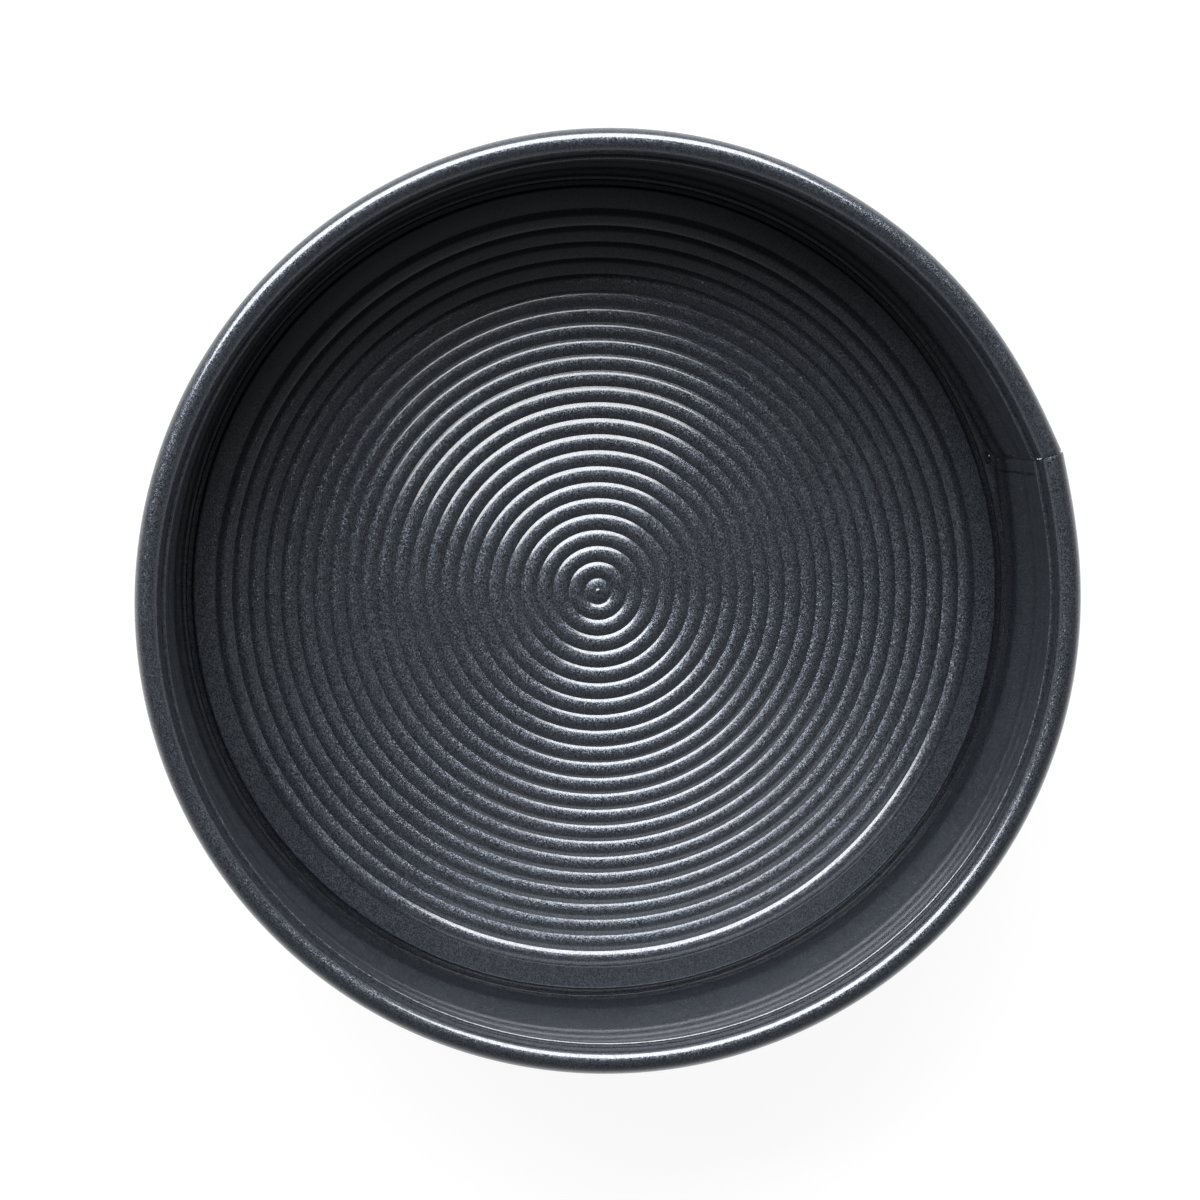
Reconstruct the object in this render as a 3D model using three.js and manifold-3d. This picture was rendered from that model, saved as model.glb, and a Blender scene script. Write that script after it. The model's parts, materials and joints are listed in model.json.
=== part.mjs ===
// A springform cake tin: a sprung side band with a rolled rim, closed by an over-centre clasp round a
// loose base plate with pressed ripples. Millimetres, +Z up. The tin stands on z = 0 with its axis on
// the Z axis, and the clasp sits on the -Y side.
//
// Round the tin a place is given by s, the arc length from the seam at CLASP_RADIUS (positive towards
// +X), and by its radius from the tin's axis.

import * as THREE from "three";
import { mergeVertices } from "three/addons/utils/BufferGeometryUtils.js";
import Module from "manifold-3d";

const wasm = await Module();
wasm.setup();

// ---- driving dimensions ----

// Side band
const INNER_RADIUS = 114.3; // a 9 inch tin
const SHEET = 0.6; // thickness of the band's steel
const HEIGHT = 68;
const RIM_RADIUS = 3.35; // outer radius of the rolled rim's tube
const RIM_STANDOFF = 1.2; // crevice between the wall and the rim's tube
const GROOVE_DEPTH = 1.9; // how far the bottom groove bulges outwards
const GROOVE_HEIGHT = 6.4;
const LIP_WIDTH = 2.8; // the inward lip that carries the base
const BAND_STEPS = 84; // facets round the tin
const SEAM_GAP = 0.3;
const FLARE_RANGE = 5.5; // degrees in which the band's straighter ends merge into the circle
const LEFT_FLARE = 1.5;
const RIGHT_FLARE = 1.2;

// Tongue of the left end, which laps outside the right end
const TONGUE_LENGTH = 10;
const TONGUE_FLOOR = 8.5;
const TONGUE_TOP = 59;
const TONGUE_SHEET = 0.6;

// Base plate
const BASE_SHEET = 0.8;
const BASE_LIFT = 0.9; // underside of the base's rim above the surface
const BASE_RADIUS = 114.0;
const PANEL_RADIUS = 112.0;
const PANEL_RISE = 3.1; // raised panel above the base's rim
const RIPPLE_COUNT = 23;
const RIPPLE_PITCH = 4.43;
const RIPPLE_HEIGHT = 0.6; // crests above the grooves between them
const DOME_RADIUS = 3.65; // the small dome inside the first groove
const BASE_STEPS = 40;

// Clasp
const CLASP_RADIUS = 115; // radius at which s is measured
const CLASP_HEIGHT = 36; // z of the clasp's middle
const PIN_LINE = 118.8; // distance of the pins' axes from the tin's axis
const PIN_RADIUS = 1.2;
const PIN_CLEARANCE = 0.3;
const PIN_STEPS = 16;
const LEVER_PIN_S = -7;
const LINK_PIN_S = -14;
const CATCH_PIN_S = 18;
const CLASP_SHEET = 0.8;
const LINK_HALF = 6.0; // half widths along Z, from the middle outwards
const EAR_INNER = 6.4;
const EAR_OUTER = 7.4;
const ARM_INNER = 7.8;
const ARM_OUTER = 8.8;
const HEAD_INNER = 9.1;
const HEAD_OUTER = 9.9;
const CATCH_HEAD_INNER = 7.7;
const CATCH_HEAD_OUTER = 8.5;
const LEVER_TAIL_S = -64;
const LEVER_PLATE_S = -25;
const LEVER_OUTER = 121.9;
const LINK_INNER = 120.25;
const HOOK_INNER_RADIUS = 2.2; // leaves the hook room to drop over the pin
const FOOT_GAP = 0.3;
const LEVER_FOOT = [-26, -4.6]; // first and last s of each bracket's foot and ears
const LEVER_EARS = [-11.5, -4.8];
const CATCH_FOOT = [11.5, 31];
const CATCH_EARS = [12.5, 25];

// ---- helpers ----

// The point at arc length s and the given radius, seen from above.
function polar(s, radius) {
  const angle = s / CLASP_RADIUS;
  return new THREE.Vector2(radius * Math.sin(angle), -radius * Math.cos(angle));
}

// How far one of the band's ends stands out of its circle at a given angle from the seam.
function flare(degrees, most) {
  return most * Math.exp(-Math.abs(degrees) / FLARE_RANGE);
}

// The outer face of the wall at arc length s.
function wallOuter(s) {
  const degrees = THREE.MathUtils.radToDeg(s / CLASP_RADIUS);
  return INNER_RADIUS + SHEET + flare(degrees, s < 0 ? LEFT_FLARE : RIGHT_FLARE);
}

// Turns a closed three.js geometry into a solid that can be cut and joined.
function solid(geometry) {
  const bare = geometry.clone();
  bare.deleteAttribute("normal");
  bare.deleteAttribute("uv");
  const merged = mergeVertices(bare, 1e-4);
  return new wasm.Manifold(
    new wasm.Mesh({
      numProp: 3,
      vertProperties: merged.attributes.position.array,
      triVerts: new Uint32Array(merged.index.array),
    }),
  );
}

function geometryOf(manifold) {
  const mesh = manifold.getMesh();
  const geometry = new THREE.BufferGeometry();
  geometry.setAttribute("position", new THREE.BufferAttribute(mesh.vertProperties, 3));
  geometry.setIndex(new THREE.BufferAttribute(mesh.triVerts, 1));
  geometry.computeVertexNormals();
  return geometry;
}

// A profile of [radius, z] points turned about the Z axis. One that stays off the axis closes on itself.
function lathe(profile, steps) {
  const points = profile.map(([radius, z]) => new THREE.Vector2(radius, z));
  if (points[0].x > 0) points.push(points[0].clone());
  const geometry = new THREE.LatheGeometry(points, steps);
  geometry.rotateX(Math.PI / 2);
  return geometry;
}

// A flat outline, seen from above, given thickness from z = low to z = high.
function slab(shape, low, high) {
  const geometry = new THREE.ExtrudeGeometry(shape, {
    depth: high - low,
    bevelEnabled: false,
    curveSegments: 8,
  });
  geometry.translate(0, 0, low);
  return solid(geometry);
}

// An outline that follows the tin from s = from to s = to, between two radii that may vary with s.
function ribbon(from, to, inner, outer, steps) {
  const places = Array.from({ length: steps + 1 }, (_, i) => from + ((to - from) * i) / steps);
  const near = places.map((s) => polar(s, inner(s)));
  const far = places.map((s) => polar(s, outer(s)));
  return new THREE.Shape([...near.reverse(), ...far]);
}

function constant(value) {
  return () => value;
}

function disc(centre, radius, low, high, steps = PIN_STEPS) {
  const geometry = new THREE.CylinderGeometry(radius, radius, high - low, steps);
  geometry.rotateX(Math.PI / 2);
  geometry.translate(centre.x, centre.y, (low + high) / 2);
  return solid(geometry);
}

// The same plate above and below the clasp's middle.
function pair(make, inner, outer) {
  return [
    make(CLASP_HEIGHT + inner, CLASP_HEIGHT + outer),
    make(CLASP_HEIGHT - outer, CLASP_HEIGHT - inner),
  ];
}

function joined(solids) {
  return solids.reduce((whole, piece) => whole.add(piece));
}

// ---- side band ----

// Points on an arc in the profile plane, angles in degrees from +radius towards +z.
function arc(centreRadius, centreZ, radius, from, to, steps) {
  return Array.from({ length: steps + 1 }, (_, i) => {
    const angle = THREE.MathUtils.degToRad(from + ((to - from) * i) / steps);
    return [centreRadius + radius * Math.cos(angle), centreZ + radius * Math.sin(angle)];
  });
}

// The band's cross-section: a lip under the base, an outward groove round the base's edge, the straight
// wall, and a rim rolled outwards and down.
function bandProfile() {
  const wallIn = INNER_RADIUS;
  const wallOut = INNER_RADIUS + SHEET;
  const grooveIn = wallIn + GROOVE_DEPTH;
  const grooveOut = wallOut + GROOVE_DEPTH;
  const lip = wallIn - LIP_WIDTH;
  const rimCentre = wallIn + RIM_STANDOFF + RIM_RADIUS;
  const rimZ = HEIGHT - RIM_RADIUS;
  const rollStart = 210;
  const rollEnd = -120;
  const outerRoll = arc(rimCentre, rimZ, RIM_RADIUS, rollStart, rollEnd, 11);
  const innerRoll = arc(rimCentre, rimZ, RIM_RADIUS - SHEET, rollEnd, rollStart + 4, 7);
  return [
    [lip, 0],
    [lip, SHEET],
    [grooveIn - 1.2, SHEET],
    [grooveIn, 1.8],
    [grooveIn, GROOVE_HEIGHT - 2.4],
    [wallIn, GROOVE_HEIGHT],
    [wallIn, rimZ - 3.4],
    ...outerRoll,
    ...innerRoll,
    [wallOut, rimZ - 3.9],
    [wallOut, GROOVE_HEIGHT + 0.3],
    [grooveOut, GROOVE_HEIGHT - 2.2],
    [grooveOut, 1.4],
    [grooveOut - 1.4, 0],
  ];
}

// Crowds the facets towards the seam, then lets the band stand out of its circle there.
function flareAtSeam(geometry, most) {
  const crowding = 0.5;
  const position = geometry.attributes.position;
  for (let i = 0; i < position.count; i++) {
    const x = position.getX(i);
    const y = position.getY(i);
    const even = Math.atan2(x, -y);
    const angle = even - crowding * Math.sin(even);
    const radius = Math.hypot(x, y) + flare(THREE.MathUtils.radToDeg(angle), most);
    position.setXY(i, radius * Math.sin(angle), -radius * Math.cos(angle));
  }
  return geometry;
}

// One half of the band: side is -1 for the left (-X) half and 1 for the right.
function bandHalf(side) {
  const ring = lathe(bandProfile().reverse(), BAND_STEPS);
  flareAtSeam(ring, side < 0 ? LEFT_FLARE : RIGHT_FLARE);
  const room = INNER_RADIUS + 20;
  const half = new THREE.BoxGeometry(room, 2 * room, 2 * HEIGHT);
  half.translate((side * (room + SEAM_GAP)) / 2, 0, HEIGHT / 2);
  return solid(ring).intersect(solid(half));
}

// The tongue steps out of the left end and laps outside the right end.
function tongue() {
  const inner = INNER_RADIUS + SHEET + RIGHT_FLARE + 0.4;
  const start = -4;
  const lap = ribbon(start, TONGUE_LENGTH, constant(inner), constant(inner + TONGUE_SHEET), 8);
  const step = ribbon(start, -0.3, (s) => wallOuter(s) - SHEET / 2, constant(inner + 0.2), 4);
  return slab(lap, TONGUE_FLOOR, TONGUE_TOP).add(slab(step, TONGUE_FLOOR, TONGUE_TOP));
}

// ---- base plate ----

function basePlate() {
  const rimTop = BASE_LIFT + BASE_SHEET;
  const panelTop = rimTop + PANEL_RISE;
  const panelUnder = panelTop - BASE_SHEET;
  const shoulder = 0.8 * RIPPLE_HEIGHT;
  const ripples = [];
  for (let i = 0; i < RIPPLE_COUNT; i++) {
    const groove = DOME_RADIUS + i * RIPPLE_PITCH;
    ripples.push([groove, panelTop]);
    ripples.push([groove + 0.25 * RIPPLE_PITCH, panelTop + shoulder]);
    ripples.push([groove + 0.5 * RIPPLE_PITCH, panelTop + RIPPLE_HEIGHT]);
    ripples.push([groove + 0.75 * RIPPLE_PITCH, panelTop + shoulder]);
  }
  const profile = [
    [0, panelTop + RIPPLE_HEIGHT],
    [DOME_RADIUS / 2, panelTop + shoulder],
    ...ripples,
    [DOME_RADIUS + RIPPLE_COUNT * RIPPLE_PITCH, panelTop],
    [PANEL_RADIUS - 0.7, panelTop],
    [PANEL_RADIUS, panelTop - 0.7],
    [PANEL_RADIUS + 0.3, rimTop],
    [BASE_RADIUS, rimTop],
    [BASE_RADIUS, BASE_LIFT],
    [PANEL_RADIUS - 0.6, BASE_LIFT],
    [PANEL_RADIUS - 0.9, panelUnder],
    [0, panelUnder],
  ];
  return solid(lathe(profile.reverse(), BASE_STEPS));
}

// ---- clasp ----

// A foot that follows the wall, carrying two ears that hold a pin.
function bracket(foot, ear, pinS) {
  const inner = (s) => wallOuter(s) + FOOT_GAP;
  const outer = (s) => wallOuter(s) + FOOT_GAP + CLASP_SHEET;
  const plate = ribbon(foot[0], foot[1], inner, outer, 8);
  const pin = polar(pinS, PIN_LINE);
  const boss = 2.4;
  const earShape = new THREE.Shape([
    polar(ear[0], inner(ear[0]) + 0.1),
    polar(ear[0], outer(ear[0]) + 0.3),
    polar(pinS - boss * 0.8, PIN_LINE + boss * 0.5),
    polar(pinS + boss * 0.8, PIN_LINE + boss * 0.5),
    polar(ear[1], outer(ear[1]) + 0.3),
    polar(ear[1], inner(ear[1]) + 0.1),
  ].reverse());
  const ears = pair((low, high) => slab(earShape, low, high), EAR_INNER, EAR_OUTER);
  const bosses = pair((low, high) => disc(pin, boss, low, high), EAR_INNER, EAR_OUTER);
  const base = slab(plate, CLASP_HEIGHT - EAR_OUTER, CLASP_HEIGHT + EAR_OUTER);
  const hole = disc(pin, PIN_RADIUS + PIN_CLEARANCE, CLASP_HEIGHT - 10, CLASP_HEIGHT + 10);
  return joined([base, ...ears, ...bosses]).subtract(hole);
}

// A shaft with a head at each end.
function pinGeometry(headInner, headOuter) {
  const head = PIN_RADIUS + 0.8;
  const points = [
    [0, -headOuter],
    [head, -headOuter],
    [head, -headInner],
    [PIN_RADIUS, -headInner],
    [PIN_RADIUS, headInner],
    [head, headInner],
    [head, headOuter],
    [0, headOuter],
  ];
  return lathe(points, PIN_STEPS);
}

// A channel: the handle's plate joins two side arms that reach the pins.
function lever() {
  const tailRise = (s) => (s < -52 ? 1.5 * ((s + 52) / 12) ** 2 : 0);
  const plateOuter = (s) => LEVER_OUTER + tailRise(s);
  const plateInner = (s) => LEVER_OUTER - CLASP_SHEET + tailRise(s);
  const sideInner = (s) => (s < -42 ? 116.9 + (3.4 * (-42 - s)) / 22 : 116.9);
  const sideShape = ribbon(LEVER_TAIL_S, LEVER_PIN_S, sideInner, plateOuter, 22);
  const armShape = ribbon(LEVER_PLATE_S - 2, LEVER_PIN_S, constant(120.8), constant(125), 8);
  const plate = slab(
    ribbon(LEVER_TAIL_S, LEVER_PLATE_S, plateInner, plateOuter, 16),
    CLASP_HEIGHT - ARM_OUTER,
    CLASP_HEIGHT + ARM_OUTER,
  );
  const pivot = polar(LEVER_PIN_S, PIN_LINE);
  const linkPin = polar(LINK_PIN_S, PIN_LINE);
  const sides = pair((low, high) => slab(sideShape, low, high), ARM_INNER, ARM_OUTER);
  const tips = pair((low, high) => disc(pivot, 2.2, low, high), ARM_INNER, ARM_OUTER);
  const relief = slab(armShape, CLASP_HEIGHT - 12, CLASP_HEIGHT + 12);
  const holes = [pivot, linkPin].map((centre) =>
    disc(centre, PIN_RADIUS + PIN_CLEARANCE, CLASP_HEIGHT - 10, CLASP_HEIGHT + 10),
  );
  return joined([...sides]).add(plate).subtract(relief).add(joined(tips)).subtract(joined(holes));
}

// A strip with a knuckle round the link pin and an open hook that drops over the catch pin.
function link() {
  const low = CLASP_HEIGHT - LINK_HALF;
  const high = CLASP_HEIGHT + LINK_HALF;
  const knuckle = polar(LINK_PIN_S, PIN_LINE);
  const catchPin = polar(CATCH_PIN_S, PIN_LINE);
  const hookOuter = HOOK_INNER_RADIUS + CLASP_SHEET;
  const hookRise = PIN_LINE + HOOK_INNER_RADIUS - LINK_INNER;
  const stripInner = (s) => LINK_INNER + hookRise * THREE.MathUtils.smoothstep(s, 5, 15);
  const stripOuter = (s) => stripInner(s) + CLASP_SHEET;
  const strip = ribbon(LINK_PIN_S, CATCH_PIN_S, stripInner, stripOuter, 16);
  const openSide = ribbon(CATCH_PIN_S - 6, CATCH_PIN_S + 6, constant(110), constant(PIN_LINE), 4);
  const nearSide = ribbon(CATCH_PIN_S - 6, CATCH_PIN_S - 1.4, constant(110), constant(LINK_INNER), 4);
  const hook = disc(catchPin, hookOuter, low, high, 20)
    .subtract(slab(openSide, low - 1, high + 1))
    .subtract(slab(nearSide, low - 1, high + 1));
  return slab(strip, low, high)
    .add(hook)
    .add(disc(knuckle, PIN_RADIUS + PIN_CLEARANCE + 0.75, low, high, 20))
    .subtract(disc(catchPin, HOOK_INNER_RADIUS, low - 1, high + 1, 20))
    .subtract(disc(knuckle, PIN_RADIUS + PIN_CLEARANCE, low - 1, high + 1));
}

// ---- materials ----

function coating(color) {
  return new THREE.MeshStandardMaterial({ color, roughness: 0.42, metalness: 0.75 });
}

function plated(color) {
  return new THREE.MeshStandardMaterial({ color, roughness: 0.32, metalness: 0.95 });
}

// ---- the assembly ----

const tin = new THREE.Group();
tin.name = "springform_tin";

function place(name, geometry, material, position = [0, 0, 0]) {
  const mesh = new THREE.Mesh(geometry, material);
  mesh.name = name;
  mesh.position.set(...position);
  tin.add(mesh);
}

function placePin(name, s, headInner, headOuter) {
  const axis = polar(s, PIN_LINE);
  place(name, pinGeometry(headInner, headOuter), plated(0xc9cbcc), [axis.x, axis.y, CLASP_HEIGHT]);
}

place("side_band_left", geometryOf(bandHalf(-1).add(tongue())), coating(0x3f4246));
place("side_band_right", geometryOf(bandHalf(1)), coating(0x3f4246));
place("base_plate", geometryOf(basePlate()), coating(0x4a4d52));
place("lever_bracket", geometryOf(bracket(LEVER_FOOT, LEVER_EARS, LEVER_PIN_S)), plated(0xb4b6b8));
place("catch_bracket", geometryOf(bracket(CATCH_FOOT, CATCH_EARS, CATCH_PIN_S)), plated(0xb4b6b8));
place("lever", geometryOf(lever()), plated(0xbfc1c3));
place("link", geometryOf(link()), plated(0xb9bbbd));
placePin("lever_pin", LEVER_PIN_S, HEAD_INNER, HEAD_OUTER);
placePin("link_pin", LINK_PIN_S, HEAD_INNER, HEAD_OUTER);
placePin("catch_pin", CATCH_PIN_S, CATCH_HEAD_INNER, CATCH_HEAD_OUTER);

export default tin;
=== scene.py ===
"""A springform cake tin: dark metallic non-stick band and rippled base, plated steel clasp.

Lengths are in millimetres and are turned into metres where the meshes are made, but the studio's light
and floor are laid out in metres. The tin's axis is the Z axis and the seam faces -Y. Round the tin a place
is given by its angle from the seam, positive towards +X, or by its arc length s at the clasp's radius.
"""

import json
import math

import bmesh
import bpy
from mathutils import Matrix, Vector
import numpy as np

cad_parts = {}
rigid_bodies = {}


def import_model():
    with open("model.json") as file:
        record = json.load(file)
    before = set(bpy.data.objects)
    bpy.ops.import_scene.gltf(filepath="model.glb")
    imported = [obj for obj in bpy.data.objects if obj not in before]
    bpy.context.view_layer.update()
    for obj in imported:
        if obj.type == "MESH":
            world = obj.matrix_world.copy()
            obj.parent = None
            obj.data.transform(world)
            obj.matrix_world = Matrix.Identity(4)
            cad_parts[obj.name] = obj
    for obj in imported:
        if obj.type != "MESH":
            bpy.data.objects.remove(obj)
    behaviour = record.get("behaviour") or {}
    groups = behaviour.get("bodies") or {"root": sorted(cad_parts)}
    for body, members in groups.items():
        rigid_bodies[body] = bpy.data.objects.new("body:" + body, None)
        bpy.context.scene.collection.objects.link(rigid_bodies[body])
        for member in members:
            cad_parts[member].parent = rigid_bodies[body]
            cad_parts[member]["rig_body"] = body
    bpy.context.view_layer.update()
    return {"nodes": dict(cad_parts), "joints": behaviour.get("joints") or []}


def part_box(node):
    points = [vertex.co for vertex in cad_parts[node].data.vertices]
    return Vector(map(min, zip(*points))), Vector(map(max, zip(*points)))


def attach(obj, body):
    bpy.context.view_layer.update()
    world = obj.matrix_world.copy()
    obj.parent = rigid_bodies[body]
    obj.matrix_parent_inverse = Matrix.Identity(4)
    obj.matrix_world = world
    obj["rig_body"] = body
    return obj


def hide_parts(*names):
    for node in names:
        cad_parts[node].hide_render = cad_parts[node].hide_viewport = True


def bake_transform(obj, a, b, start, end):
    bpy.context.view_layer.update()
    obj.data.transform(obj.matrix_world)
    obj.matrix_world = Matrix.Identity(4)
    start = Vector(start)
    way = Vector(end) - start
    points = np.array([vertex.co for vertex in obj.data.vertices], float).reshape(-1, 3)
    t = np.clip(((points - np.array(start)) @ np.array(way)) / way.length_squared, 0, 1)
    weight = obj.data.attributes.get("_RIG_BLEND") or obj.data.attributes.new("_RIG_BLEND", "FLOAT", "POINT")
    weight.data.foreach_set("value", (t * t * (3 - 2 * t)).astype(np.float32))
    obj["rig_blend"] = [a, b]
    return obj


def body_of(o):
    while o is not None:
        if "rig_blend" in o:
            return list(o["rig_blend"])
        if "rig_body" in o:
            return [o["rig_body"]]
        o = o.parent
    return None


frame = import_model()

MM = 0.001

# ---- sizes taken from the frame ----


def node_box(name):
    low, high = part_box(name)
    return low / MM, high / MM


band_high = node_box("side_band_right")[1]
base_low, base_high = node_box("base_plate")
joints = {joint["name"]: joint for joint in frame["joints"]}
lever_axis = Vector(joints["lever_pivot"]["pos_m"]) / MM
link_axis = Vector(joints["link_pivot"]["pos_m"]) / MM

HEIGHT = band_high.z
RIM_OUTER = band_high.x
SHEET = 0.6
RIM_RADIUS = 3.35
RIM_CENTRE_R = RIM_OUTER - RIM_RADIUS
RIM_CENTRE_Z = HEIGHT - RIM_RADIUS
LEDGE_WIDTH = 1.2
INNER_RADIUS = RIM_OUTER - 2 * RIM_RADIUS - LEDGE_WIDTH
LEDGE_DROP = 1.6
LIP_WIDTH = 2.5
GROOVE_DEPTH = 1.9
GROOVE_TOP = 4.3
WALL_FOOT = 6.4
WALL_MIDDLE = 40.0

# The seam. Both ends of the band stand out of their circle, and their cut edges are rounded off.
SEAM_GAP = 0.26
FLARE_RANGE = math.radians(5.5)
LEFT_FLARE = 1.5
RIGHT_FLARE = 1.2
LAP_CLEARANCE = 0.4
RIM_END_REACH = 0.35
RIM_END_DROP = 0.15
WALL_END_REACH = 0.55
WALL_END_EASE = 0.22

# The tongue, which runs on from the left end over the outside of the right end.
TONGUE_START = -4.0
TONGUE_LENGTH = 14.0
TONGUE_LOW = 8.5
TONGUE_HIGH = HEIGHT - 5.6
TONGUE_CORNER = 3.0

BASE_RADIUS = base_high.x
BASE_LIFT = base_low.z
BASE_SHEET = 0.8
PANEL_RADIUS = 112.0
RIPPLE_COUNT = 23
RIPPLE_PITCH = 4.43
RIPPLE_HEIGHT = 0.6
RIPPLE_CREST = 0.93 * RIPPLE_HEIGHT
RIPPLE_FLOOR = 0.02
RIDGE_POWER = 2.05
OUTER_RIDGE_SCALE = 1.35
DOME_RADIUS = 3.65
DOME_POWER = 2.4
PANEL_TOP = base_high.z - RIPPLE_HEIGHT

# The clasp, centred on the lever's height. Arc lengths, ending in _S, are measured at CLASP_RADIUS.
CLASP_RADIUS = 115.0
CLASP_SHEET = 0.8
CLASP_HEIGHT = lever_axis.z
PIN_RADIUS = 1.2
PIN_LINE = math.hypot(lever_axis.x, lever_axis.y)
LEVER_PIN_S = CLASP_RADIUS * math.atan2(lever_axis.x, -lever_axis.y)
LINK_PIN_S = CLASP_RADIUS * math.atan2(link_axis.x, -link_axis.y)
CATCH_PIN_S = 18.0
FOOT_GAP = 0.3
FOOT_HALF = 7.4
FOOT_CORNER = 2.2
WELD_DEPTH = 0.34
BOSS_RADIUS = 2.4
EAR_SHEET = 0.98
LEVER_HALF = 8.8
HANDLE_START_S = -64.0
HANDLE_END_S = -25.5
TAIL_S = -52.0
TAPER_S = -42.0
HOLLOW_S = -46.0
HANDLE_TOP = 121.5
FLANGE_EDGE = 117.1
ARM_START_S = -26.5
ARM_UNDER = 117.0
ARM_OVER = 120.8
ARM_END_RADIUS = 2.2
ARM_SHEET = 0.9
LINK_HALF = 6.0
KNUCKLE_RADIUS = 1.85
HOOK_RADIUS = 2.6
PIN_HEAD_RADIUS = 2.0
LONG_PIN_REACH = 9.9
SHORT_PIN_REACH = 8.5

SMOOTH_ANGLE = math.radians(50)
FLECK_SIZE = 0.22
COATING_DARK = (0.018, 0.020, 0.024)
COATING_LIGHT = (0.084, 0.098, 0.124)
NOISE_SPAN = (0.3, 0.7)

# ---- mesh helpers ----


def mesh_object(name, points, faces, smooth_angle=SMOOTH_ANGLE):
    """A mesh from points in millimetres, shaded smooth except at sharp edges."""
    mesh = bpy.data.meshes.new(name)
    mesh.from_pydata([(x * MM, y * MM, z * MM) for x, y, z in points], [], faces)
    mesh.validate()
    return shaded(name, mesh, smooth_angle)


def shaded(name, mesh, smooth_angle=SMOOTH_ANGLE):
    """An object in the scene with the given mesh, shaded smooth except at sharp edges."""
    mesh.shade_smooth()
    mesh.set_sharp_from_angle(angle=smooth_angle)
    obj = bpy.data.objects.new(name, mesh)
    bpy.context.scene.collection.objects.link(obj)
    return obj


def arc(centre_r, centre_z, radius, start, end, steps):
    """Points on an arc in the profile plane. Angles are in degrees from outwards towards up."""
    angles = [math.radians(start + (end - start) * i / steps) for i in range(steps + 1)]
    return [(centre_r + radius * math.cos(a), centre_z + radius * math.sin(a)) for a in angles]


def fillet(corners, radii, steps=6):
    """Rounds each inner corner of an open line of (r, z) points with an arc of the given radius."""
    line = [corners[0]]
    for i in range(1, len(corners) - 1):
        here = Vector(corners[i])
        back = (Vector(corners[i - 1]) - here).normalized()
        on = (Vector(corners[i + 1]) - here).normalized()
        radius = radii[i - 1]
        half = math.acos(max(-1.0, min(1.0, back.dot(on)))) / 2
        if radius == 0 or half > math.radians(89.5):
            line.append(tuple(here))
            continue
        reach = radius / math.tan(half)
        centre = here + (back + on).normalized() * (radius / math.sin(half))
        first = here + back * reach - centre
        last = here + on * reach - centre
        sweep = first.angle_signed(last)
        for k in range(steps + 1):
            turned = first.copy()
            turned.rotate(Matrix.Rotation(-sweep * k / steps, 2))
            line.append(tuple(centre + turned))
    line.append(corners[-1])
    return line


def thicken(line, thickness, edge_steps=4):
    """A closed outline round an open centre line, with rounded ends."""
    half = thickness / 2
    points = [Vector(p) for p in line]
    left = []
    right = []
    for i, point in enumerate(points):
        before = points[max(i - 1, 0)]
        after = points[min(i + 1, len(points) - 1)]
        along = (after - before).normalized()
        across = Vector((-along.y, along.x))
        left.append(point + across * half)
        right.append(point - across * half)

    def cap(centre, start):
        turned = []
        for k in range(1, edge_steps):
            spoke = start.copy()
            spoke.rotate(Matrix.Rotation(-math.pi * k / edge_steps, 2))
            turned.append(centre + spoke)
        return turned

    tail = cap(points[-1], left[-1] - points[-1])
    head = cap(points[0], right[0] - points[0])
    return [tuple(p) for p in left + tail + right[::-1] + head]


def loft(name, sections):
    """Joins closed (r, z) outlines that stand at given angles round the tin's axis, and closes both ends."""
    points = []
    for angle, outline in sections:
        for r, z in outline:
            points.append((r * math.sin(angle), -r * math.cos(angle), z))
    count = len(sections[0][1])
    faces = []
    for i in range(len(sections) - 1):
        for k in range(count):
            here = i * count + k
            beside = i * count + (k + 1) % count
            faces.append((here, here + count, beside + count, beside))
    last = (len(sections) - 1) * count
    faces.append(tuple(range(count)))
    faces.append(tuple(range(last, last + count))[::-1])
    return mesh_object(name, points, faces)


def polar(s, radius):
    """The point at arc length s from the seam and a distance from the tin's axis."""
    angle = s / CLASP_RADIUS
    return Vector((radius * math.sin(angle), -radius * math.cos(angle)))


def around(s, reach, start, end, steps=14):
    """Points on an arc round the pin at s. Angles are in degrees from the +s direction towards outwards."""
    centre = polar(s, PIN_LINE)
    outward = centre.normalized()
    along = Vector((-outward.y, outward.x))
    points = []
    for k in range(steps + 1):
        turn = math.radians(start + (end - start) * k / steps)
        points.append(centre + along * (reach * math.cos(turn)) + outward * (reach * math.sin(turn)))
    return points


def prism(name, outline, low, high, rounding=0.16):
    """A plate with the given outline between two heights above the clasp's middle, its edges rounded."""
    shell = bmesh.new()
    ring = [shell.verts.new((x * MM, y * MM, (CLASP_HEIGHT + low) * MM)) for x, y in outline]
    floor_face = shell.faces.new(ring)
    raised = bmesh.ops.extrude_face_region(shell, geom=[floor_face])
    top = [item for item in raised["geom"] if isinstance(item, bmesh.types.BMVert)]
    bmesh.ops.translate(shell, verts=top, vec=(0, 0, (high - low) * MM))
    bmesh.ops.recalc_face_normals(shell, faces=shell.faces)
    level = [edge for edge in shell.edges if abs(edge.verts[0].co.z - edge.verts[1].co.z) < 1e-6]
    bmesh.ops.bevel(shell, geom=level, offset=rounding * MM, segments=2, profile=0.5, affect="EDGES")
    mesh = bpy.data.meshes.new(name)
    shell.to_mesh(mesh)
    shell.free()
    return shaded(name, mesh)


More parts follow.
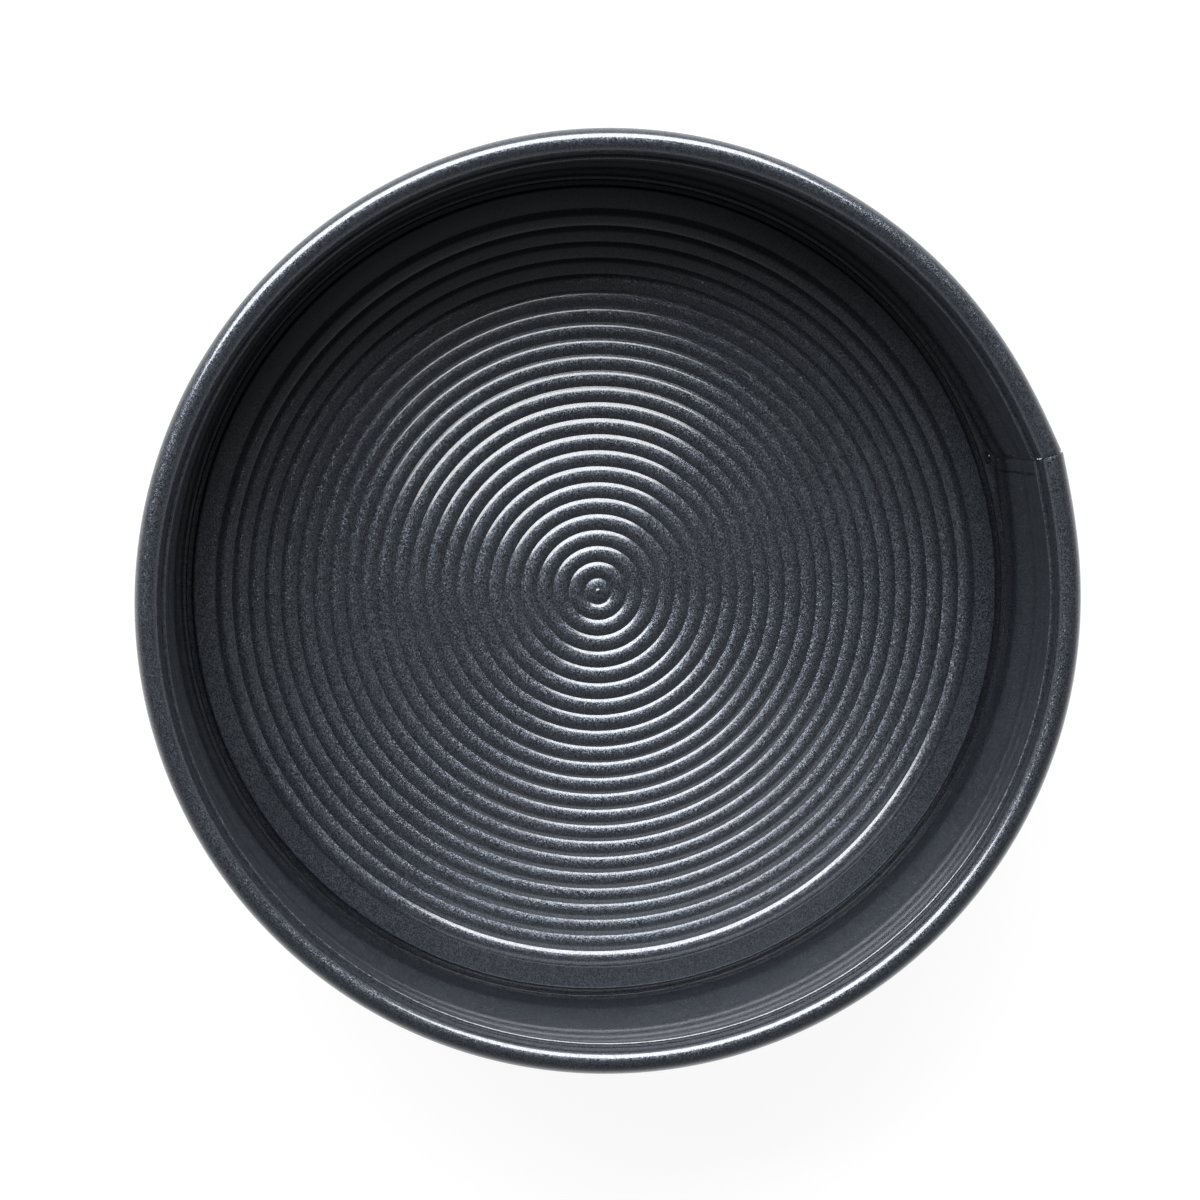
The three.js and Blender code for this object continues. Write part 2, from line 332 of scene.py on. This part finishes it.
def lathe(name, profile, steps, centre, smooth_angle=SMOOTH_ANGLE):
    """Turns an (r, z) outline, whose two ends are on the axis, about an upright axis through the centre."""
    ring = profile[1:-1]
    count = len(ring)
    points = [(centre.x, centre.y, centre.z + z) for z in (profile[0][1], profile[-1][1])]
    for i in range(steps):
        turn = 2 * math.pi * i / steps
        for r, z in ring:
            points.append((centre.x + r * math.sin(turn), centre.y - r * math.cos(turn), centre.z + z))
    top, bottom, first = 0, 1, 2
    faces = []
    for i in range(steps):
        here = first + i * count
        there = first + ((i + 1) % steps) * count
        faces.append((top, here, there))
        faces.append((bottom, there + count - 1, here + count - 1))
        for k in range(count - 1):
            faces.append((here + k, here + k + 1, there + k + 1, there + k))
    return mesh_object(name, points, faces, smooth_angle)


def quarter_round(from_edge, reach, depth):
    """How far a rounded edge falls away: by the full depth at the edge, and not at all past the reach."""
    inward = max(0.0, 1 - from_edge / reach)
    return depth * (1 - math.sqrt(max(0.0, 1 - inward * inward)))


def smooth_step(value, low, high):
    """Rises gently from 0 to 1 between two values."""
    t = max(0.0, min(1.0, (value - low) / (high - low)))
    return t * t * (3 - 2 * t)


# ---- side band ----


def band_line():
    """The middle of the band's sheet: lip, groove, wall, ledge and rolled rim.

    The point half way up the wall keeps its shading straight.
    """
    middle = INNER_RADIUS + SHEET / 2
    half = SHEET / 2
    groove = middle + GROOVE_DEPTH
    roll = RIM_RADIUS - half
    lower = fillet(
        [
            (INNER_RADIUS - LIP_WIDTH, half),
            (groove, half),
            (groove, GROOVE_TOP),
            (middle, WALL_FOOT),
            (middle, WALL_MIDDLE),
            (middle, RIM_CENTRE_Z - LEDGE_DROP),
            *arc(RIM_CENTRE_R, RIM_CENTRE_Z, roll, 220, 200, 1),
        ],
        [0.8, 1.2, 1.2, 0, 0.36, 0.31],
    )
    return lower[:-1] + arc(RIM_CENTRE_R, RIM_CENTRE_Z, roll, 199, -125, 36)


def seam_side(angle, most):
    """How far the band stands out of its circle near its end."""
    return most * math.exp(-abs(angle) / FLARE_RANGE)


def band_angles(side):
    """Angles from the seam to the back, crowded towards the seam."""
    gap = SEAM_GAP / 2 / INNER_RADIUS
    steps = 220
    places = [k / steps for k in range(steps + 1)]
    return [side * (gap + (math.pi - gap) * (0.35 * t + 0.65 * t * t)) for t in places]


def rim_end_round(angle, r, z):
    """Softens the cut end of the rolled rim, where the sheet's outer corner is rounded off."""
    across = math.hypot(r - RIM_CENTRE_R, z - RIM_CENTRE_Z)
    on_outer_face = abs(across - RIM_RADIUS + 0.15) <= 0.2
    from_end = max(abs(angle) * RIM_OUTER - SEAM_GAP / 2, 0)
    if from_end > RIM_END_REACH or not on_outer_face:
        return r, z
    scale = (across - quarter_round(from_end, RIM_END_REACH, RIM_END_DROP)) / across
    return RIM_CENTRE_R + (r - RIM_CENTRE_R) * scale, RIM_CENTRE_Z + (z - RIM_CENTRE_Z) * scale


def wall_end_round(angle, r, z):
    """Eases the wall's inner face outwards over the last half millimetre before the seam."""
    from_end = max(abs(angle) * INNER_RADIUS - SEAM_GAP / 2, 0)
    on_inner_face = r <= INNER_RADIUS + 0.2 and 8.0 < z < RIM_CENTRE_Z
    if from_end > WALL_END_REACH or not on_inner_face:
        return r, z
    return r + WALL_END_EASE * (1 - from_end / WALL_END_REACH) ** 2, z


def band_half(name, side, most):
    """One half of the band, from the seam to the back. Side is 1 towards +X and -1 towards -X."""

    def shift(angle, r, z):
        r, z = rim_end_round(angle, r, z)
        r, z = wall_end_round(angle, r, z)
        return r + seam_side(angle, most), z

    outline = thicken(band_line(), SHEET)
    if side > 0:
        outline = outline[::-1]
    sections = [(a, [shift(a, r, z) for r, z in outline]) for a in band_angles(side)]
    return loft(name, sections)


def tongue():
    """The part of the left end that laps outside the right end and hides the seam in the wall."""
    inner = INNER_RADIUS + SHEET + RIGHT_FLARE + LAP_CLEARANCE
    steps, rows = 40, 12
    sections = []
    for k in range(steps + 1):
        s = TONGUE_START + TONGUE_LENGTH * k / steps
        stand = seam_side(s / CLASP_RADIUS, LEFT_FLARE) if s < 0 else LEFT_FLARE
        joined = INNER_RADIUS + SHEET / 2 + stand
        middle = joined + (inner + SHEET / 2 - joined) * smooth_step(s, -3.0, -0.5)
        cut = quarter_round(TONGUE_START + TONGUE_LENGTH - s, TONGUE_CORNER, TONGUE_CORNER)
        low = TONGUE_LOW + cut
        high = TONGUE_HIGH - cut
        line = [(middle, low + (high - low) * i / rows) for i in range(rows + 1)]
        sections.append((s / CLASP_RADIUS, thicken(line, SHEET)))
    return loft("band_tongue", sections)


def groove_lap():
    """A short lap of the left end's groove outside the right end's groove."""
    middle = INNER_RADIUS + SHEET * 1.5 + RIGHT_FLARE + LAP_CLEARANCE
    groove = middle + GROOVE_DEPTH
    bottom = SHEET + 0.1
    bends = [(groove, GROOVE_TOP + 0.1), (middle, WALL_FOOT + 0.1)]
    line = fillet([(groove, bottom), *bends, (middle, TONGUE_LOW + 0.2)], [1.2, 1.2])
    return loft("groove_lap", [(s / CLASP_RADIUS, thicken(line, SHEET)) for s in (-3.0, -1.5, 0.0, 1.6)])


def lip_lap():
    """A thin leaf of the left end's lip that lies on the right end's lip, under the base's edge."""
    leaf = 0.22
    middle = SHEET + 0.13
    line = [(INNER_RADIUS + out, middle) for out in (-0.8, 0.6, 2.0)]
    return loft("lip_lap", [(s / CLASP_RADIUS, thicken(line, leaf)) for s in (-2.0, -0.8, 0.4, 1.4)])


def rim_joggle():
    """The necked-in end of the rim's roll that slips into the roll of the other end."""
    inside_gap = 0.5
    roll = RIM_RADIUS - SHEET - inside_gap - SHEET / 2
    outline = thicken(arc(RIM_CENTRE_R + LEFT_FLARE - 0.2, RIM_CENTRE_Z, roll, 200, -130, 30), SHEET)
    return loft("rim_joggle", [(s / RIM_OUTER, outline) for s in (-3.0, -1.5, 0.0, 1.0)])


# ---- base ----


def hump(middle, half, crest):
    """One rounded ridge between two narrow grooves, as (r, height) points from groove to groove."""
    steps = 12
    points = []
    for k in range(steps):
        across = -1 + 2 * (k + 0.5) / steps
        height = crest * (1 - abs(across) ** RIDGE_POWER)
        points.append((middle + half * across, height))
    return points


def base_outline():
    """The plate's closed outline, from the middle of its top out round the rim and back underneath."""
    pip = [(0.0, 0.26), (0.3, 0.22), (0.6, 0.06), (0.9, -0.02)]
    dome_places = (1.2, 1.8, 2.3, 2.8, 3.2, 3.5)
    dome = [(r, RIPPLE_HEIGHT * (1 - (r / DOME_RADIUS) ** DOME_POWER)) for r in dome_places]
    top = [(r, RIPPLE_HEIGHT + h - 0.05) for r, h in pip] + dome
    for i in range(RIPPLE_COUNT):
        top.append((DOME_RADIUS + i * RIPPLE_PITCH, RIPPLE_FLOOR))
        crest = RIPPLE_CREST * (OUTER_RIDGE_SCALE if i == RIPPLE_COUNT - 1 else 1.0)
        top += hump(DOME_RADIUS + (i + 0.5) * RIPPLE_PITCH, RIPPLE_PITCH / 2, crest)
    border = DOME_RADIUS + RIPPLE_COUNT * RIPPLE_PITCH
    top += [(border, RIPPLE_FLOOR), (border + 0.35, 0.0), (border + 0.8, 0.0)]
    surface = [(r, PANEL_TOP + h) for r, h in top]
    rim_top = BASE_LIFT + BASE_SHEET
    outer = fillet(
        [
            surface[-1],
            (PANEL_RADIUS, PANEL_TOP),
            (PANEL_RADIUS + 0.25, rim_top),
            (BASE_RADIUS, rim_top),
            (BASE_RADIUS, BASE_LIFT),
            (PANEL_RADIUS - 0.7, BASE_LIFT),
            (PANEL_RADIUS - 0.9, PANEL_TOP - BASE_SHEET),
            (surface[-1][0] + 0.3, PANEL_TOP - BASE_SHEET),
        ],
        [0.9, 0.3, 0.35, 0.35, 0.3, 0.3],
    )
    under = [(r, z - BASE_SHEET) for r, z in surface[::-1]]
    return surface[:-1] + outer[:-1] + under


def base_plate():
    return lathe("rippled_base", base_outline(), 300, Vector((0, 0, 0)), math.radians(40))


# ---- clasp ----


def wall_outer(s):
    """Distance of the wall's outside from the tin's axis, with the flare beside the seam."""
    return INNER_RADIUS + SHEET + seam_side(s / CLASP_RADIUS, LEFT_FLARE if s < 0 else RIGHT_FLARE)


def foot(name, start, end, welds):
    """A sheet that follows the wall, with rounded corners and dished spot welds."""
    columns, rows = 60, 36
    outer = []
    inner = []
    for i in range(columns + 1):
        s = start + (end - start) * i / columns
        from_end = min(s - start, end - s)
        half = FOOT_HALF - quarter_round(from_end, FOOT_CORNER, FOOT_CORNER)
        for k in range(rows + 1):
            z = -half + 2 * half * k / rows
            soft = quarter_round(min(from_end, half - abs(z)), 0.25, 0.12)
            spots = [1 - smooth_step(math.hypot(s - ws, z - wz), 0.5, 1.7) for ws, wz in welds]
            dish = sum(WELD_DEPTH * spot for spot in spots)
            radius = wall_outer(s) + FOOT_GAP
            outer.append((s, radius + CLASP_SHEET - soft - dish, z))
            inner.append((s, radius, z))
    points = []
    for s, radius, z in outer + inner:
        x, y = polar(s, radius)
        points.append((x, y, CLASP_HEIGHT + z))
    span = rows + 1
    under = len(outer)
    faces = []
    for i in range(columns):
        for k in range(rows):
            a = i * span + k
            faces.append((a, a + span, a + span + 1, a + 1))
            faces.append((under + a, under + a + 1, under + a + span + 1, under + a + span))
        low, high = i * span, i * span + rows
        faces.append((low, under + low, under + low + span, low + span))
        faces.append((high, high + span, under + high + span, under + high))
    for k in range(rows):
        far = columns * span + k
        faces.append((k, k + 1, under + k + 1, under + k))
        faces.append((far, under + far, under + far + 1, far + 1))
    return mesh_object(name, points, faces)


def ear_outline(start, end, pin_s):
    """One ear of a bracket: it rises from the foot and rounds over the pin."""
    sole = FOOT_GAP + 0.2
    shoulder = FOOT_GAP + CLASP_SHEET + 0.25
    left = [polar(start, wall_outer(start) + sole), polar(start, wall_outer(start) + shoulder)]
    right = [polar(end, wall_outer(end) + shoulder), polar(end, wall_outer(end) + sole)]
    return left + around(pin_s, BOSS_RADIUS, 150, 25) + right


def bracket(name, start, end, ear, pin_s, welds):
    """A foot with its two ears."""
    parts = [foot(name + "_foot", start, end, welds)]
    for side, low in (("lower", -FOOT_HALF + 0.02), ("upper", FOOT_HALF - 1.0)):
        parts.append(prism(f"{name}_{side}_ear", ear_outline(*ear, pin_s), low, low + EAR_SHEET))
    return parts


def lever_channel():
    """The lever's handle: a channel of bent sheet with a raised tail and a pressed finger hollow."""
    steps, bend_steps, plate_steps = 90, 6, 24
    first_side = bend_steps + 2
    sections = []
    for i in range(steps + 1):
        s = HANDLE_START_S + (HANDLE_END_S - HANDLE_START_S) * i / steps
        rise = 1.5 * (max(0.0, TAIL_S - s) / (TAIL_S - HANDLE_START_S)) ** 2
        deep = FLANGE_EDGE + 3.2 * max(0.0, TAPER_S - s) / (TAPER_S - HANDLE_START_S)
        half = LEVER_HALF - CLASP_SHEET / 2 - quarter_round(s - HANDLE_START_S, 5.0, 3.2)
        top = HANDLE_TOP + rise
        line = fillet([(deep, half), (top, half), (top, -half), (deep, -half)], [1.1, 1.1], bend_steps)
        plate = [(top, (half - 1.3) * (1 - 2 * k / plate_steps)) for k in range(plate_steps + 1)]
        line = line[:first_side] + plate + line[first_side:]
        outline = []
        for r, z in thicken(line, CLASP_SHEET):
            hollow = 0.0
            if abs(z) < half - 1.0 and r > top - CLASP_SHEET:
                way = math.hypot(max(0.0, abs(s - HOLLOW_S) - 8.5) / 3.6, z / 3.9)
                hollow = 0.45 * (1 - smooth_step(way, 0.72, 1.0))
            outline.append((r - hollow, CLASP_HEIGHT + z))
        sections.append((s / CLASP_RADIUS, outline))
    return loft("lever_handle", sections)


def lever_arm(name, low):
    """One arm of the lever, from the handle's flange to a round end on the lever pin."""
    steps = 12
    places = [ARM_START_S + (LEVER_PIN_S - ARM_START_S) * k / steps for k in range(steps)]
    under = [polar(s, ARM_UNDER - 0.4 * smooth_step(s, -16, LEVER_PIN_S)) for s in places]
    over = [polar(s, ARM_OVER) for s in places[::-1]]
    return prism(name, under + around(LEVER_PIN_S, ARM_END_RADIUS, -90, 85) + over, low, low + ARM_SHEET)


def link_strap():
    """The link: one strip rolled round the link pin, running to a hook over the catch pin."""
    knuckle = around(LINK_PIN_S, KNUCKLE_RADIUS, 378, 90, 26)
    hook = around(CATCH_PIN_S, HOOK_RADIUS, 90, 0, 14)
    steps = 30
    run = []
    for k in range(1, steps):
        s = LINK_PIN_S + (CATCH_PIN_S - LINK_PIN_S) * k / steps
        rise = (HOOK_RADIUS - KNUCKLE_RADIUS) * smooth_step(s, 5, 15)
        run.append(polar(s, PIN_LINE + KNUCKLE_RADIUS + rise))
    outline = thicken([tuple(p) for p in knuckle + run + hook], CLASP_SHEET)
    return prism("link_strap", outline, -LINK_HALF, LINK_HALF, 0.14)


def pin(name, s, reach):
    """A pin with a domed head at each end, upright on the pins' line."""
    head = PIN_HEAD_RADIUS
    half = [(0.0, reach + 0.1), (head * 0.55, reach + 0.02), (head * 0.88, reach - 0.2)]
    half += [(head, reach - 0.45), (head * 0.97, reach - 0.72), (PIN_RADIUS, reach - 0.8)]
    profile = half + [(r, -z) for r, z in half[::-1]]
    centre = Vector((*polar(s, PIN_LINE), CLASP_HEIGHT))
    return lathe(name, profile, 36, centre)


# ---- materials ----


def new_material(name):
    """A new material with its node tree and its shader."""
    material = bpy.data.materials.new(name)
    material.use_nodes = True
    tree = material.node_tree
    shader = tree.nodes["Principled BSDF"]
    return material, tree, shader


def link(tree, output, socket):
    tree.links.new(output, socket)


def add_node(tree, kind, **settings):
    node = tree.nodes.new(kind)
    for key, value in settings.items():
        setattr(node, key, value)
    return node


def link_range(tree, output, socket, span_in, span_out, **settings):
    """Links an output to a socket and stretches one span of values to another on the way."""
    node = add_node(tree, "ShaderNodeMapRange", **settings)
    for key, value in zip(("From Min", "From Max", "To Min", "To Max"), (*span_in, *span_out)):
        node.inputs[key].default_value = value
    link(tree, output, node.inputs["Value"])
    link(tree, node.outputs["Result"], socket)


def coating(name, roughness, tilt, gloss):
    """Dark non-stick coating with fine aluminium flecks, each turned a little its own way."""
    material, tree, shader = new_material(name)
    place = add_node(tree, "ShaderNodeTexCoord")
    cells = add_node(tree, "ShaderNodeTexVoronoi", feature="F1")
    cells.inputs["Scale"].default_value = 1 / (FLECK_SIZE * MM)
    link(tree, place.outputs["Object"], cells.inputs["Vector"])

    split = add_node(tree, "ShaderNodeSeparateColor")
    link(tree, cells.outputs["Color"], split.inputs["Color"])
    colour = add_node(tree, "ShaderNodeMix", data_type="RGBA")
    colour.inputs["A"].default_value = (*COATING_DARK, 1)
    colour.inputs["B"].default_value = (*COATING_LIGHT, 1)
    link(tree, split.outputs["Red"], colour.inputs["Factor"])
    link(tree, colour.outputs["Result"], shader.inputs["Base Color"])

    clouds = add_node(tree, "ShaderNodeTexNoise")
    clouds.inputs["Scale"].default_value = 45
    clouds.inputs["Detail"].default_value = 4
    link(tree, place.outputs["Object"], clouds.inputs["Vector"])
    span = (roughness - 0.03, roughness + 0.03)
    link_range(tree, clouds.outputs["Fac"], shader.inputs["Roughness"], NOISE_SPAN, span)

    centred = add_node(tree, "ShaderNodeVectorMath", operation="SUBTRACT")
    centred.inputs[1].default_value = (0.5, 0.5, 0.5)
    link(tree, cells.outputs["Color"], centred.inputs[0])
    turned = add_node(tree, "ShaderNodeVectorMath", operation="SCALE")
    turned.inputs["Scale"].default_value = tilt
    link(tree, centred.outputs["Vector"], turned.inputs[0])
    surface = add_node(tree, "ShaderNodeNewGeometry")
    added = add_node(tree, "ShaderNodeVectorMath", operation="ADD")
    link(tree, surface.outputs["Normal"], added.inputs[0])
    link(tree, turned.outputs["Vector"], added.inputs[1])
    unit = add_node(tree, "ShaderNodeVectorMath", operation="NORMALIZE")
    link(tree, added.outputs["Vector"], unit.inputs[0])
    link(tree, unit.outputs["Vector"], shader.inputs["Normal"])

    shader.inputs["Metallic"].default_value = 0.7
    shader.inputs["Coat Weight"].default_value = 1.0
    shader.inputs["Coat Roughness"].default_value = gloss
    shader.inputs["Coat IOR"].default_value = 1.65
    return material


def plated_steel(name, shade, roughness):
    """Plated steel with faint streaks that run level."""
    material, tree, shader = new_material(name)
    place = add_node(tree, "ShaderNodeTexCoord")
    stretch = add_node(tree, "ShaderNodeMapping")
    stretch.inputs["Scale"].default_value = (120, 120, 2600)
    link(tree, place.outputs["Object"], stretch.inputs["Vector"])
    streaks = add_node(tree, "ShaderNodeTexNoise")
    streaks.inputs["Scale"].default_value = 1
    streaks.inputs["Detail"].default_value = 5
    link(tree, stretch.outputs["Vector"], streaks.inputs["Vector"])
    span = (roughness - 0.06, roughness + 0.08)
    link_range(tree, streaks.outputs["Fac"], shader.inputs["Roughness"], NOISE_SPAN, span)
    colour = add_node(tree, "ShaderNodeMix", data_type="RGBA")
    colour.inputs["A"].default_value = (*[c * 0.86 for c in shade], 1)
    colour.inputs["B"].default_value = (*shade, 1)
    link(tree, streaks.outputs["Fac"], colour.inputs["Factor"])
    link(tree, colour.outputs["Result"], shader.inputs["Base Color"])
    shader.inputs["Metallic"].default_value = 1.0
    return material


def floor_material():
    """Dark grey that glows white, so that the floor looks as blank as the photo's background."""
    material, tree, shader = new_material("studio_floor")
    shader.inputs["Base Color"].default_value = (0.12, 0.12, 0.12, 1)
    shader.inputs["Emission Color"].default_value = (1, 1, 1, 1)
    shader.inputs["Emission Strength"].default_value = 0.92
    shader.inputs["Roughness"].default_value = 0.8
    shader.inputs["Specular IOR Level"].default_value = 0.2
    return material


# ---- the object ----

band_coating = coating("band_coating", roughness=0.34, tilt=0.26, gloss=0.09)
base_coating = coating("base_coating", roughness=0.36, tilt=0.36, gloss=0.14)
clasp_steel = plated_steel("clasp_steel", shade=(0.40, 0.41, 0.42), roughness=0.28)
pin_steel = plated_steel("pin_steel", shade=(0.34, 0.35, 0.36), roughness=0.3)

left = band_half("band_left_end", -1, LEFT_FLARE)
left.data.materials.append(band_coating)
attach(left, "ring_fixed_side")
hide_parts("side_band_left")

right = band_half("band_right_end", 1, RIGHT_FLARE)
right.data.materials.append(band_coating)
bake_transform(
    right,
    "ring_fixed_side",
    "ring_sprung_side",
    start=(0, RIM_OUTER * MM, 0),
    end=(0, 0, 0),
)
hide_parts("side_band_right")

base = base_plate()
base.data.materials.append(base_coating)
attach(base, "base")
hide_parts("base_plate")

for piece in (tongue(), groove_lap(), lip_lap(), rim_joggle()):
    piece.data.materials.append(band_coating)
    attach(piece, "ring_fixed_side")
    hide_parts("side_band_left")


def fit_out(parts, node, material):
    """Puts pieces on the body of the CAD node that they stand for."""
    for part in parts:
        part.data.materials.append(material)
        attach(part, body_of(frame["nodes"][node])[0])
        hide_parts(node)


lever_bracket = bracket(
    "lever_bracket",
    start=-26.0,
    end=-4.6,
    ear=(-11.5, -4.8),
    pin_s=LEVER_PIN_S,
    welds=[(-22.0, 4.2), (-22.0, -4.2), (-16.5, 0.0)],
)
catch_bracket = bracket(
    "catch_bracket",
    start=11.5,
    end=31.0,
    ear=(12.5, 25.0),
    pin_s=CATCH_PIN_S,
    welds=[(27.6, 4.2), (27.6, -4.2), (22.5, 0.0)],
)
lever_parts = [
    lever_channel(),
    lever_arm("lever_lower_arm", -LEVER_HALF + 0.05),
    lever_arm("lever_upper_arm", LEVER_HALF - 0.05 - ARM_SHEET),
]
fit_out(lever_bracket, "lever_bracket", clasp_steel)
fit_out(catch_bracket, "catch_bracket", clasp_steel)
fit_out(lever_parts, "lever", clasp_steel)
fit_out([link_strap()], "link", clasp_steel)
fit_out([pin("lever_pin_round", LEVER_PIN_S, LONG_PIN_REACH)], "lever_pin", pin_steel)
fit_out([pin("link_pin_round", LINK_PIN_S, LONG_PIN_REACH)], "link_pin", pin_steel)
fit_out([pin("catch_pin_round", CATCH_PIN_S, SHORT_PIN_REACH)], "catch_pin", pin_steel)

# ---- camera ----

CAMERA_AT = Vector((64.5, 30.8, 822.6)) * MM
CAMERA_TO = Vector((2.65, 2.60, HEIGHT)) * MM
CAMERA_LENS = 88.6
ABOVE = Vector((0, 0, 1))
IMAGE_UP = Vector((0.9469, -0.3214, 0.0))
IMAGE_RIGHT = IMAGE_UP.cross(ABOVE)

camera_data = bpy.data.cameras.new("camera")
camera_data.sensor_width = 36
camera_data.lens = CAMERA_LENS
camera_data.clip_start = 0.01
camera = bpy.data.objects.new("camera", camera_data)
bpy.context.scene.collection.objects.link(camera)
back = (CAMERA_AT - CAMERA_TO).normalized()
side = IMAGE_UP.cross(back).normalized()
up = back.cross(side)
camera.matrix_world = Matrix((
    (side.x, up.x, back.x, CAMERA_AT.x),
    (side.y, up.y, back.y, CAMERA_AT.y),
    (side.z, up.z, back.z, CAMERA_AT.z),
    (0, 0, 0, 1),
))
bpy.context.scene.camera = camera

# ---- studio, in metres ----

LIGHT_TARGET = Vector((0, 0, 0.03))
FLOOR_REACH = 6.0
HORIZON_STRENGTH = 0.5
OVERHEAD_STRENGTH = 0.10


def toward(angle_up, angle_right):
    """A direction tilted from straight up towards the top and the right of the camera's view."""
    up_part = IMAGE_UP * math.tan(math.radians(angle_up))
    right_part = IMAGE_RIGHT * math.tan(math.radians(angle_right))
    return (ABOVE + up_part + right_part).normalized()


def softbox(name, direction, distance, width, height, power):
    """An area light that faces the middle of the tin from a direction. Its sizes are in metres."""
    light = bpy.data.lights.new(name, "AREA")
    light.shape = "RECTANGLE"
    light.size = width
    light.size_y = height
    light.energy = power
    obj = bpy.data.objects.new(name, light)
    bpy.context.scene.collection.objects.link(obj)
    obj.location = LIGHT_TARGET + direction * distance
    obj.rotation_euler = direction.to_track_quat("Z", "Y").to_euler()


def studio_floor():
    """A plain square under the tin."""
    mesh = bpy.data.meshes.new("floor")
    signs = ((-1, -1), (1, -1), (1, 1), (-1, 1))
    mesh.from_pydata([(x * FLOOR_REACH, y * FLOOR_REACH, 0) for x, y in signs], [], [(0, 1, 2, 3)])
    mesh.materials.append(floor_material())
    obj = bpy.data.objects.new("floor", mesh)
    bpy.context.scene.collection.objects.link(obj)
    return obj


def studio_world():
    """A white surround that is dimmer overhead than at the horizon."""
    world = bpy.data.worlds.new("studio")
    world.use_nodes = True
    sky = world.node_tree
    background = sky.nodes["Background"]
    background.inputs["Color"].default_value = (1, 1, 1, 1)
    sky_way = add_node(sky, "ShaderNodeTexCoord")
    split_way = add_node(sky, "ShaderNodeSeparateXYZ")
    link(sky, sky_way.outputs["Generated"], split_way.inputs["Vector"])
    link_range(
        sky,
        split_way.outputs["Z"],
        background.inputs["Strength"],
        (0.1, 0.75),
        (HORIZON_STRENGTH, OVERHEAD_STRENGTH),
        interpolation_type="SMOOTHSTEP",
    )
    return world


softbox("key", toward(45.5, -14), distance=1.4, width=1.9, height=0.85, power=53)
floor = studio_floor()
bpy.context.scene.world = studio_world()
bpy.context.scene.view_settings.view_transform = "Standard"


def corners(box):
    return [list(point) for point in box]
